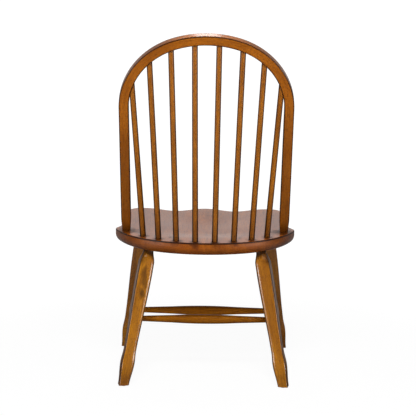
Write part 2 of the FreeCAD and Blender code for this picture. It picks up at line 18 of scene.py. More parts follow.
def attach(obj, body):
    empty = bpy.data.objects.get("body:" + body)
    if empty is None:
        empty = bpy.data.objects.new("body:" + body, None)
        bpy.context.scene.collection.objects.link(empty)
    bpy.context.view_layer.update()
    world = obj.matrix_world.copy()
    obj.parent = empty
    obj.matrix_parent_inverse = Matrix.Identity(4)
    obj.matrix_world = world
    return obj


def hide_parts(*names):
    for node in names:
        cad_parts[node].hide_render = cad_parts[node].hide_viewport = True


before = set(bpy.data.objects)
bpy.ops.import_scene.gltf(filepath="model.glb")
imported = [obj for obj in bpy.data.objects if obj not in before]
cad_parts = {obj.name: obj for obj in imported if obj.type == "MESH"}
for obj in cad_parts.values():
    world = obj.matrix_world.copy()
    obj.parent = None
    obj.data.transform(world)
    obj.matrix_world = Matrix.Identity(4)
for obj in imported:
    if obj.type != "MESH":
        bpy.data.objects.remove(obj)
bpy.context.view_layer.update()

LOG = logging.getLogger("chair")
BODY = "root"
Colour = tuple[float, float, float]
Point = tuple[float, float, float]
Marks = tuple[Point, float, float]
UP = Vector((0.0, 0.0, 1.0))
OUT = Vector((1.0, 0.0, 0.0))


class Slot(Enum):
    """The record's material slots that modelled pieces have."""

    BOW = "bow_wood"
    SPINDLE = "spindle_wood"
    LEG = "leg_wood"
    STRETCHER = "stretcher_wood"


class Follow(Enum):
    """What a wood pattern follows: the chair's own axes, or the grain written into a piece."""

    CHAIR = "chair"
    PIECE = "piece"


@dataclass(frozen=True)
class Ramp:
    """Rises smoothly from 0 at low to its strength at high, or falls where high is the lower."""

    low: float
    high: float
    strength: float = 1.0

    def at(self, value: float) -> float:
        """Its height at a value."""
        share = min(1.0, max(0.0, (value - self.low) / (self.high - self.low)))
        return self.strength * share * share * (3.0 - 2.0 * share)


@dataclass(frozen=True)
class SeatPlane:
    """The tilted plane of the seat's flat rim, which the bow and the legs are cut to.

    Its height is that over the middle of the floor. The boards reach their thickness down from it.
    """

    height: float = 0.43010
    tilt: float = 1.72
    thickness: float = 0.0405

    def normal(self) -> Vector:
        """The direction that the seat's top looks in."""
        angle = math.radians(self.tilt)
        return Vector((0.0, math.sin(angle), math.cos(angle)))

    def point(self, depth: float) -> Vector:
        """A point of the plane that lies depth below it."""
        return UP * self.height - self.normal() * depth


# Shader maths


Value = Union[float, "Wire"]


class Wire:
    """One output socket. Arithmetic on it adds Math nodes."""

    def __init__(self, graph: "Graph", socket: bpy.types.NodeSocket) -> None:
        """Wraps a socket of the graph."""
        self.graph = graph
        self.socket = socket

    def math(self, operation: str, *others: Value) -> "Wire":
        """Adds a Math node that works on this value and the others."""
        return self.graph.add("ShaderNodeMath", {"operation": operation}, dict(enumerate((self, *others))))

    def twin(self, output: str) -> "Wire":
        """Another output of the same node."""
        return Wire(self.graph, self.socket.node.outputs[output])

    def __add__(self, other: Value) -> "Wire":
        """This value plus another."""
        return self.math("ADD", other)

    def __sub__(self, other: Value) -> "Wire":
        """This value less another."""
        return self.math("SUBTRACT", other)

    def __rsub__(self, other: Value) -> "Wire":
        """Another value less this one."""
        return self.graph.add("ShaderNodeMath", {"operation": "SUBTRACT"}, {0: other, 1: self})

    def __mul__(self, other: Value) -> "Wire":
        """This value times another."""
        return self.math("MULTIPLY", other)

    __radd__ = __add__
    __rmul__ = __mul__


class Graph:
    """A node tree that is built up from its coordinates to its shader."""

    def __init__(self, tree: bpy.types.NodeTree) -> None:
        """Empties the tree and starts on it."""
        self.tree = tree
        tree.nodes.clear()

    def add(
        self, kind: str, settings: dict | None = None, sockets: dict | None = None, output: int | str = 0
    ) -> Wire:
        """Adds one node, its settings first and then a value or a wire for each input, by name or number.

        It gives back the wire that leaves the wanted output, or None from a node that ends the tree.
        """
        node = self.tree.nodes.new(kind)
        for key, value in (settings or {}).items():
            setattr(node, key, value)
        for key, value in (sockets or {}).items():
            if isinstance(value, Wire):
                self.tree.links.new(value.socket, node.inputs[key])
            elif isinstance(value, tuple) and node.inputs[key].type == "RGBA":
                node.inputs[key].default_value = (*value, 1.0)
            else:
                node.inputs[key].default_value = value
        return Wire(self, node.outputs[output]) if node.outputs else None

    def place(self) -> Wire:
        """The place in the chair's own coordinates."""
        return self.add("ShaderNodeTexCoord", output="Object")

    def attribute(self, name: str, output: str) -> Wire:
        """A value that is written into the piece."""
        return self.add("ShaderNodeAttribute", {"attribute_name": name}, output=output)

    def part(self, vector: Wire, axis: str) -> Wire:
        """One part of a vector."""
        return self.add("ShaderNodeSeparateXYZ", {}, {0: vector}, axis)

    def vector(self, operation: str, *vectors: Wire | Point, output: int | str = 0) -> Wire:
        """Vector maths on one vector or on two."""
        return self.add("ShaderNodeVectorMath", {"operation": operation}, dict(enumerate(vectors)), output)

    def noise(self, vector: Wire, scale: float, detail: float = 2.0, roughness: float = 0.55) -> Wire:
        """Cloudy noise between 0 and 1."""
        inputs = {"Vector": vector, "Scale": scale, "Detail": detail, "Roughness": roughness}
        return self.add("ShaderNodeTexNoise", {}, inputs)

    def ramp(self, value: Wire, ramp: Ramp) -> Wire:
        """A ramp's height at a value."""
        inputs = {"Value": value, "From Min": ramp.low, "From Max": ramp.high, "To Max": ramp.strength}
        return self.add("ShaderNodeMapRange", {"interpolation_type": "SMOOTHSTEP"}, inputs)

    def mix(self, factor: Value, first: Colour | Wire, second: Colour | Wire, blend: str = "MIX") -> Wire:
        """Lays the second colour over the first by a factor, in the way that blend names."""
        settings = {"data_type": "RGBA", "blend_type": blend, "clamp_factor": True}
        return self.add("ShaderNodeMix", settings, {0: factor, 6: first, 7: second}, 2)

    def bump(self, height: Wire, strength: float, depth: float) -> Wire:
        """A normal that is tipped by a height."""
        return self.add("ShaderNodeBump", {}, {"Height": height, "Strength": strength, "Distance": depth})

    def principled(self, inputs: dict[str, Value | Colour]) -> None:
        """Ends the tree with a principled shader."""
        shader = self.add("ShaderNodeBsdfPrincipled", {}, inputs)
        self.add("ShaderNodeOutputMaterial", {}, {"Surface": shader})


def grey(level: float) -> Colour:
    """A grey of that level."""
    return level, level, level


def new_material(name: str) -> tuple[bpy.types.Material, Graph]:
    """An empty material and the graph of its nodes."""
    material = bpy.data.materials.new(name)
    material.use_nodes = True
    return material, Graph(material.node_tree)


# Finishes


@dataclass(frozen=True)
class Palette:
    """The colours of one stained wood, from its clearest to that of its dark streaks and speckles.

    The glaze colour is what stays along the edges, in the pores and in the joints; it is also the colour of the
    painted shade on arrises that turn away, on sides turned from the light and on parts in shadow.
    """

    light: Colour
    middle: Colour
    deep: Colour
    # Also the colour of the painted shade.
    glaze: Colour = (0.022, 0.006, 0.002)


LEG_WOOD = Palette((0.57, 0.215, 0.004), (0.36, 0.120, 0.002), (0.155, 0.042, 0.001))
BOW_WOOD = Palette((0.53, 0.152, 0.002), (0.39, 0.105, 0.001), (0.21, 0.049, 0.0005))
SEAT_WOOD = Palette((0.45, 0.117, 0.004), (0.325, 0.075, 0.0025), (0.16, 0.031, 0.0012))
SPINDLE_WOOD = Palette((0.47, 0.153, 0.007), (0.33, 0.099, 0.003), (0.165, 0.041, 0.001))
STRETCHER_WOOD = Palette((0.46, 0.15, 0.001), (0.33, 0.10, 0.001), (0.17, 0.042, 0.0005))


@dataclass(frozen=True)
class Pattern:
    """A noise that is drawn out along the grain, by its scales across and along, and what shows of it."""

    scale: float
    along: float
    detail: float
    roughness: float
    shows: Ramp

    def amount(self, graph: Graph, grain: Wire) -> Wire:
        """How much of it lies at a place."""
        drawn_out = graph.vector("MULTIPLY", grain, (1.0, 1.0, self.along))
        return graph.ramp(graph.noise(drawn_out, self.scale, self.detail, self.roughness), self.shows)


CLOUDS = Pattern(22.0, 0.3, 2.0, 0.55, Ramp(0.3, 0.72))
STREAKS = Pattern(260.0, 0.05, 3.0, 0.6, Ramp(0.46, 0.76, 0.6))
SPECKLES = Pattern(330.0, 0.45, 2.0, 0.6, Ramp(0.5, 0.76, 0.65))
PORES = Pattern(1500.0, 0.09, 2.0, 0.5, Ramp(0.6, 0.72, 0.5))


@dataclass(frozen=True)
class Smear:
    """A round patch of glaze that was left on the wood, drawn out by how its distance is scaled."""

    place: Point
    radius: float
    strength: float
    along: Point = (1.0, 1.0, 1.0)
    core: float = 0.3

    def amount(self, graph: Graph, place: Wire, wobble: Wire) -> Wire:
        """How much of it lies at a place, full over its core."""
        offset = graph.vector("MULTIPLY", graph.vector("SUBTRACT", place, self.place), self.along)
        distance = graph.vector("LENGTH", offset, output="Value") + wobble * self.radius
        return graph.ramp(distance, Ramp(self.radius, self.core * self.radius, self.strength))


@dataclass(frozen=True)
class SeatLineAndShade:
    """Darkening on the seat: a dark line on the top arris, and painted shade on the turned-under rim and its
    tips.

    Slopes are given as the part of the face's normal that points up the seat's own.
    """

    line_depth: Ramp = Ramp(0.006, 0.0035, 0.95)
    line_slope: Ramp = Ramp(0.965, 0.9)
    line_wobble: float = 0.001
    # Painted shade on the turned-under rim and on the rim's tips.
    under_slope: Ramp = Ramp(-0.1, -0.85, 0.25)
    tip_across: Ramp = Ramp(0.13, 0.26)
    tip_slope: Ramp = Ramp(0.6, 0.2)
    tip_strength: float = 0.55
    tip_wobble: float = 0.8

    def amount(self, graph: Graph, wobble: Wire) -> Wire:
        """How dark a place is made, from 0 to 1, by the arris line and the painted shade."""
        seat = SeatPlane()
        up = tuple(seat.normal())
        place = graph.place()
        facing = graph.add("ShaderNodeNewGeometry", output="Normal")
        slope, height = (graph.vector("DOT_PRODUCT", item, up, output="Value") for item in (facing, place))
        depth = seat.height * up[2] - height + wobble * self.line_wobble
        line = graph.ramp(depth, self.line_depth) * graph.ramp(slope, self.line_slope)
        across = graph.part(place, "X").math("ABSOLUTE")
        tip = graph.ramp(across, self.tip_across) * graph.ramp(slope, self.tip_slope)
        # Painted shade: darker where the rim turns under, and at the rim's tips, which turn to the sides.
        held = graph.ramp(slope, self.under_slope) + tip * (wobble * self.tip_wobble + self.tip_strength)
        return line.math("MAXIMUM", held)


@dataclass(frozen=True)
class EdgeGlazeAndShade:
    """Dark lines along a piece's arrises, glaze that is also painted shade where an arris turns away, and the
    glaze and painted shade that its attributes add elsewhere.
    """

    core: float = 0.3
    strength: float = 0.9
    line_wobble: float = 0.1
    held_wobble: float = 0.5

    def amount(self, graph: Graph, wobble: Wire, width: float) -> Wire:
        """How much glaze and painted shade lies at a place, from 0 to 1, with lines of a width."""
        reach = graph.attribute("arris", "Fac") + wobble * self.line_wobble
        line = graph.ramp(reach, Ramp(width, self.core * width, self.strength))
        # The attributes add glaze and painted shade besides the lines.
        return line.math("MAXIMUM", graph.attribute("held", "Fac") * (wobble * self.held_wobble + 1.0))


@dataclass(frozen=True)
class Stain:
    """Stained and lacquered hardwood.

    The fields after the smears are the same for all: how rough the lacquer and the wood are, how
    uneven the glaze is, and the fine ridges along the grain.

    Args:
        palette: Its colours.
        follow: What the pattern follows.
        glaze_and_shade_width: How far from an arris the dark line of glaze and painted shade reaches, as a share
            of half a face.
        seed: Moves the pattern, so that no two finishes repeat it.
        tone: Makes the whole finish lighter (above 1) or darker.
        coat: Strength of the lacquer's gloss.
        glaze_and_shade_dulling: How much of that gloss the glaze and the painted shade take away.
        smears: Patches of glaze besides; on the seat each lies on both sides.
    """

    palette: Palette
    follow: Follow = Follow.PIECE
    glaze_and_shade_width: float = 0.26
    seed: float = 0.0
    tone: float = 1.0
    coat: float = 1.0
    glaze_and_shade_dulling: float = 0.4
    smears: tuple[Smear, ...] = ()
    coat_roughness: float = 0.24
    roughness: float = 0.43
    roughness_range: float = 0.14
    roughness_scale: float = 90.0
    wobble_scale: float = 60.0
    ridge_scale: float = 700.0
    ridge_along: float = 0.06
    ridge_strength: float = 0.12
    ridge_depth: float = 0.0004

    def coordinates(self, graph: Graph) -> Wire:
        """Coordinates in metres whose Z runs along the grain."""
        if self.follow is Follow.PIECE:
            grain = graph.attribute("grain", "Vector")
        else:
            turn = {"Vector": graph.place(), "Rotation": (math.pi / 2, 0.0, 0.0)}
            grain = graph.add("ShaderNodeMapping", {}, turn)
        return graph.vector("ADD", grain, (self.seed, 0.0, self.seed))

    def colour(self, graph: Graph, grain: Wire) -> Wire:
        """The wood's colour with its clouds, streaks, speckles and pores."""
        wood = self.palette
        body = graph.mix(CLOUDS.amount(graph, grain), wood.middle, wood.light)
        for pattern, tone in ((STREAKS, wood.deep), (SPECKLES, wood.deep), (PORES, wood.glaze)):
            body = graph.mix(pattern.amount(graph, grain), body, tone)
        return body

    def glaze_and_painted_shade(self, graph: Graph, grain: Wire) -> Wire:
        """How much dark glaze and painted shade lies there, from 0 to 1."""
        wobble = graph.noise(grain, self.wobble_scale) - 0.5
        place = graph.place()
        if self.follow is Follow.CHAIR:
            glaze = SeatLineAndShade().amount(graph, wobble)
            place = graph.vector("MAXIMUM", place, graph.vector("MULTIPLY", place, (-1.0, 1.0, 1.0)))
        else:
            glaze = EdgeGlazeAndShade().amount(graph, wobble, self.glaze_and_shade_width)
        for smear in self.smears:
            glaze = glaze.math("MAXIMUM", smear.amount(graph, place, wobble))
        return glaze

    def material(self, name: str) -> bpy.types.Material:
        """Builds the whole material under a name."""
        material, graph = new_material(name)
        grain = self.coordinates(graph)
        glaze_and_painted_shade = self.glaze_and_painted_shade(graph, grain)
        # Darkens the wood towards the glaze colour by the glaze and the painted shade.
        body = graph.mix(glaze_and_painted_shade, self.colour(graph, grain), self.palette.glaze)
        drawn_out = graph.vector("MULTIPLY", grain, (1.0, 1.0, self.ridge_along))
        ridges = graph.noise(drawn_out, self.ridge_scale)
        inputs = {
            "Base Color": graph.mix(1.0, body, grey(self.tone), "MULTIPLY"),
            "Roughness": graph.noise(grain, self.roughness_scale) * self.roughness_range + self.roughness,
            "Specular IOR Level": 0.1,
            "Coat Weight": (1.0 - glaze_and_painted_shade * self.glaze_and_shade_dulling) * self.coat,
            "Coat Roughness": self.coat_roughness,
            "Coat IOR": 1.45,
            "Normal": graph.bump(ridges, self.ridge_strength, self.ridge_depth),
        }
        graph.principled(inputs)
        return material


@dataclass(frozen=True)
class Nylon:
    """Moulded nylon, dull, with paler and rougher scuffs."""

    name: str = "glide_nylon"
    colour: Colour = (0.055, 0.045, 0.038)
    scuffed: Colour = (0.121, 0.099, 0.0836)
    scuff_scale: float = 420.0
    scuff_shows: Ramp = Ramp(0.5, 0.75)
    scuff_strength: float = 0.2
    scuff_depth: float = 0.0002
    roughness: float = 0.42
    scuff_roughness: float = 0.2

    def material(self) -> bpy.types.Material:
        """Builds the whole material."""
        material, graph = new_material(self.name)
        scuffs = graph.ramp(graph.noise(graph.place(), self.scuff_scale, 3.0), self.scuff_shows)
        inputs = {
            "Base Color": graph.mix(scuffs, self.colour, self.scuffed),
            "Roughness": scuffs * self.scuff_roughness + self.roughness,
            "Normal": graph.bump(scuffs, self.scuff_strength, self.scuff_depth),
        }
        graph.principled(inputs)
        return material


@dataclass(frozen=True)
class Steel:
    """Zinc plated steel, with duller clouds in the plating."""

    name: str = "screw_steel"
    colour: Colour = (0.62, 0.6, 0.55)
    dulled: Colour = (0.434, 0.42, 0.385)
    cloud_scale: float = 300.0
    roughness: float = 0.25
    roughness_range: float = 0.25

    def material(self) -> bpy.types.Material:
        """Builds the whole material."""
        material, graph = new_material(self.name)
        clouds = graph.noise(graph.place(), self.cloud_scale, 3.0)
        inputs = {
            "Base Color": graph.mix(clouds, self.colour, self.dulled),
            "Metallic": 1.0,
            "Roughness": clouds * self.roughness_range + self.roughness,
        }
        graph.principled(inputs)
        return material


# The bench


def turn_to(mode: str) -> None:
    """Changes between Blender's EDIT and OBJECT mode."""
    bpy.ops.object.mode_set(mode=mode)


class Workpiece:
    """One mesh on the bench, shaped in edit mode with Blender's operators."""

    def __init__(self, name: str) -> None:
        """Takes the primitive that was just added and opens it for editing."""
        self.thing = bpy.context.active_object
        self.thing.name = self.thing.data.name = name
        turn_to("EDIT")
        bpy.ops.mesh.select_mode(type="FACE")

    @classmethod
    def round_blank(cls, name: str, radius: float, sides: int) -> "Workpiece":
        """Starts from a disc that faces up at the origin."""
        bpy.ops.object.select_all(action="DESELECT")
        bpy.ops.mesh.primitive_circle_add(vertices=sides, radius=radius, fill_type="NGON")
        return cls(name)

    @classmethod
    def square_blank(
        cls, name: str, width: float, depth: float, corner: float, crown: float = 0.0, outer: float | None = None
    ) -> "Workpiece":
        """Starts from a rounded rectangle that faces up at the origin.

        Its sides bow out by the crown's share, and the corners on the +X side can have their own radius.
        """
        cuts, corner_steps = 3, 5
        bpy.ops.object.select_all(action="DESELECT")
        bpy.ops.mesh.primitive_plane_add(size=1.0)
        piece = cls(name)
        bpy.ops.mesh.subdivide(number_cuts=cuts)
        bpy.ops.transform.resize(value=(width, depth, 1.0), center_override=(0.0, 0.0, 0.0))
        if crown > 0:
            bpy.ops.transform.tosphere(value=crown, center_override=(0.0, 0.0, 0.0))
        bpy.ops.mesh.select_mode(type="VERT")
        nearly, drawn_in = 0.98, 0.3
        reach = nearly * math.hypot(width, depth) / 2 * (1.0 - drawn_in * crown)
        for side, radius in ((-1.0, corner), (1.0, corner if outer is None else outer)):
            piece.pick_points(lambda place: math.hypot(place.x, place.y) > reach and place.x * side > 0.0)
            bpy.ops.mesh.bevel(offset=radius, offset_type="OFFSET", segments=corner_steps, affect="VERTICES")
        bpy.ops.mesh.select_mode(type="FACE")
        bpy.ops.mesh.select_all(action="SELECT")
        return piece

    def pick_points(self, rule: Callable[[Vector], bool]) -> None:
        """Selects the vertices whose place keeps a rule, and no others."""
        mesh = bmesh.from_edit_mesh(self.thing.data)
        for vertex in mesh.verts:
            vertex.select_set(bool(rule(vertex.co)))
        mesh.select_flush_mode()
        bmesh.update_edit_mesh(self.thing.data)

    def pick_faces(self, rule: Callable[[Vector, Vector], bool]) -> None:
        """Selects the faces whose middle and normal keep a rule, and no others."""
        mesh = bmesh.from_edit_mesh(self.thing.data)
        for face in mesh.faces:
            face.select_set(False)
        for face in mesh.faces:
            if rule(face.calc_center_median(), face.normal):
                face.select_set(True)
        mesh.select_flush_mode()
        bmesh.update_edit_mesh(self.thing.data)

    def push(self, move: Vector) -> None:
        """Extrudes the selected faces by a move."""
        bpy.ops.mesh.extrude_region_move(TRANSFORM_OT_translate={"value": tuple(move)})

    def size(self, factors: Point, centre: Vector) -> None:
        """Scales what is selected about a centre."""
        bpy.ops.transform.resize(value=factors, center_override=tuple(centre))

    def round_off(self, share: float, centre: Vector) -> None:
        """Makes what is selected rounder about a centre."""
        bpy.ops.transform.tosphere(value=share, center_override=tuple(centre))

    def draw_up(self, stations: list[tuple[float, float]], rounding: float = 0.0, above: float = 0.0) -> None:
        """Draws the blank up Z through stations, each a height and a size, of which the first is its own.

        The sections above a height can be made rounder.
        """
        (last, size), *rest = stations
        bpy.ops.transform.translate(value=(0.0, 0.0, last))
        for height, width in rest:
            centre = UP * height
            self.push(UP * (height - last))
            self.size((width / size, width / size, 1.0), centre)
            if rounding and height > above:
                self.round_off(rounding, centre)
            last, size = height, width

    def sweep(self, angle: float, centre: Vector, axis: Vector, steps: int) -> None:
        """Spins the selected faces about an axis, right-handed, by an angle in radians."""
        bpy.ops.mesh.spin(steps=steps, angle=-angle, center=tuple(centre), axis=tuple(axis))

    def saw(self, point: Vector, normal: Vector) -> None:
        """Cuts off all that lies beyond a plane and closes the cut."""
        bpy.ops.mesh.select_all(action="SELECT")
        bpy.ops.mesh.bisect(plane_co=tuple(point), plane_no=tuple(normal), use_fill=True, clear_outer=True)

    def tenon(self, cap: Callable[[Vector, Vector], bool], move: Vector, radius: float, shoulder: float) -> None:
        """Draws a round tenon out of the end face that a rule picks, and leaves a narrow shoulder round it."""
        self.pick_faces(cap)
        bpy.ops.mesh.inset(thickness=shoulder)
        mesh = bmesh.from_edit_mesh(self.thing.data)
        ring = [vertex.co.copy() for vertex in mesh.verts if vertex.select]
        centre = sum(ring, Vector()) / len(ring)
        reach = sum((place - centre).length for place in ring) / len(ring)
        self.round_off(1.0, centre)
        self.size((radius / reach,) * 3, centre)
        self.push(move)

    def place(self, matrix: Matrix) -> None:
        """Moves the whole piece to its place in the chair."""
        turn_to("OBJECT")
        self.thing.matrix_world = matrix
        bpy.ops.object.transform_apply(location=True, rotation=True, scale=True)
        turn_to("EDIT")

    def mark(self, rule: Callable[[Vector], Marks]) -> None:
        """Finishes the piece, writes what the stain follows into it and opens it again."""
        write_grain(self.finish(), rule)
        turn_to("EDIT")

    def finish(self) -> bpy.types.Object:
        """Merges doubles, turns the faces outwards, shades the piece smooth and closes it."""
        merged, sharp = 0.00002, 50.0
        bpy.ops.mesh.select_all(action="SELECT")
        bpy.ops.mesh.remove_doubles(threshold=merged)
        bpy.ops.mesh.normals_make_consistent(inside=False)
        turn_to("OBJECT")
        bpy.ops.object.shade_smooth_by_angle(angle=math.radians(sharp))
        return self.thing


def on_plane(point: Vector, normal: Vector, side: float = 0.0) -> Callable[[Vector, Vector], bool]:
    """A rule that picks the faces lying in a plane, for side 1 or -1 on the chair's left or right only."""
    slack, parallel = 0.0005, 0.99

    def rule(middle: Vector, facing: Vector) -> bool:
        flat = abs(facing.dot(normal)) > parallel and abs((middle - point).dot(normal)) < slack
        return flat and (side == 0.0 or middle.x * side > 0.0)

    return rule


def write_grain(thing: bpy.types.Object, rule: Callable[[Vector], Marks]) -> None:
    """Writes what the stain follows into each vertex.

    Args:
        thing: The piece.
        rule: Gives, for a vertex's place, its coordinates along the grain, its distance from the
            nearest arris as a share of half a face, and how much glaze and painted shade lie there besides.
    """
    mesh = thing.data
    mesh.attributes.new("grain", "FLOAT_VECTOR", "POINT")
    mesh.attributes.new("arris", "FLOAT", "POINT")
    mesh.attributes.new("held", "FLOAT", "POINT")
    grain, arris, held = (mesh.attributes[name] for name in ("grain", "arris", "held"))
    for index, vertex in enumerate(mesh.vertices):
        grain.data[index].vector, arris.data[index].value, held.data[index].value = rule(vertex.co)


def from_arris(x: float, y: float, half: tuple[float, float], radius: float, turn: float = 0.5) -> float:
    """Distance round a section from the line that the glaze keeps to at its nearest corner.

    The section's half sizes go along X and Y. Turn says where on the corner's round the line lies:
    0 at the Y face, 1 at the X face. The distance is a share of half the size along X.
    """
    over_x, over_y = abs(x) - (half[0] - radius), abs(y) - (half[1] - radius)
    quarter = math.pi / 2
    arc = radius * quarter
    if over_x > 0.0 and over_y > 0.0:
        distance = abs(math.atan2(over_x, over_y) / quarter - turn) * arc
    elif over_x > over_y:
        distance = arc * (1.0 - turn) - over_y
    else:
        distance = arc * turn - over_x
    return distance / half[0]


def mirrored(thing: bpy.types.Object) -> bpy.types.Object:
    """A copy on the chair's other side, with its own mesh and its own stretch of grain."""
    grain_offset = Vector((0.0, 0.31, 1.7))
    copy = thing.copy()
    copy.data = thing.data.copy()
    bpy.context.collection.objects.link(copy)
    bpy.ops.object.select_all(action="DESELECT")
    copy.select_set(True)
    bpy.context.view_layer.objects.active = copy
    copy.scale.x = -1.0
    bpy.ops.object.transform_apply(location=False, rotation=False, scale=True)
    turn_to("EDIT")
    bpy.ops.mesh.select_all(action="SELECT")
    bpy.ops.mesh.normals_make_consistent(inside=False)
    turn_to("OBJECT")
    for item in copy.data.attributes["grain"].data:
        item.vector = Vector(item.vector) + grain_offset
    return copy


def frame_along(start: Vector, end: Vector, side: Vector) -> Matrix:
    """A placement whose Z runs from start to end and whose X leans towards side."""
    z = (end - start).normalized()
    x = (side - z * side.dot(z)).normalized()
    turn = Matrix((x, z.cross(x), z)).transposed().to_4x4()
    return Matrix.Translation(start) @ turn


def turned(
    name: str, sides: int, stations: list[tuple[float, float]], rule: Callable[[Vector], Marks], matrix: Matrix
) -> bpy.types.Object:
    """Turns a round piece through its stations, each a height and a radius, and puts it in its place."""
    piece = Workpiece.round_blank(name, stations[0][1], sides)
    piece.draw_up(stations)
    piece.mark(rule)
    piece.place(matrix)
    turn_to("OBJECT")
    return piece.thing


def paint(thing: bpy.types.Object, material: bpy.types.Material) -> None:
    """Gives a piece its only material."""
    thing.data.materials.clear()
    thing.data.materials.append(material)
    LOG.info("%s: %d faces", thing.name, len(thing.data.polygons))


def hand_in(thing: bpy.types.Object, stain: Stain, node: str) -> None:
    """Stains a new piece, names it and lets it stand for its CAD node."""
    thing.name = thing.data.name = node + "_wood"
    paint(thing, stain.material(node + "_stain"))
    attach(thing, BODY)
    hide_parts(node)


# Sub-assemblies


@dataclass
class SeatBoards:
    """The glued boards of the saddled seat. Their solids are shaped right, so they are dressed only."""

    tones: tuple[float, ...] = (0.93, 1.05, 0.95, 1.07, 0.94, 1.03)
    seed_step: float = 0.73
    glaze_and_shade_dulling: float = 0.8
    smears: tuple[Smear, ...] = (
        Smear((0.230, 0.038, 0.430), 0.050, 0.8),
        Smear((0.181, 0.102, 0.427), 0.024, 0.8),
        Smear((0.135, 0.135, 0.426), 0.024, 0.8),
        Smear((0.083, 0.158, 0.425), 0.024, 0.8),
        Smear((0.028, 0.170, 0.425), 0.024, 0.8),
        Smear((0.101, 0.112, 0.427), 0.006, 0.7, (1.0, 0.5, 1.0)),
    )

    def build(self) -> None:
        """Gives every board its own cut of the same stained wood, smeared round the joints."""
        for index, tone in enumerate(self.tones):
            name = f"seat_board_{index + 1}"
            look = {"seed": self.seed_step * index, "tone": tone, "glaze_and_shade_dulling": self.glaze_and_shade_dulling}
            stain = Stain(SEAT_WOOD, Follow.CHAIR, smears=self.smears, **look)
            paint(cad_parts[name], stain.material(name + "_stain"))


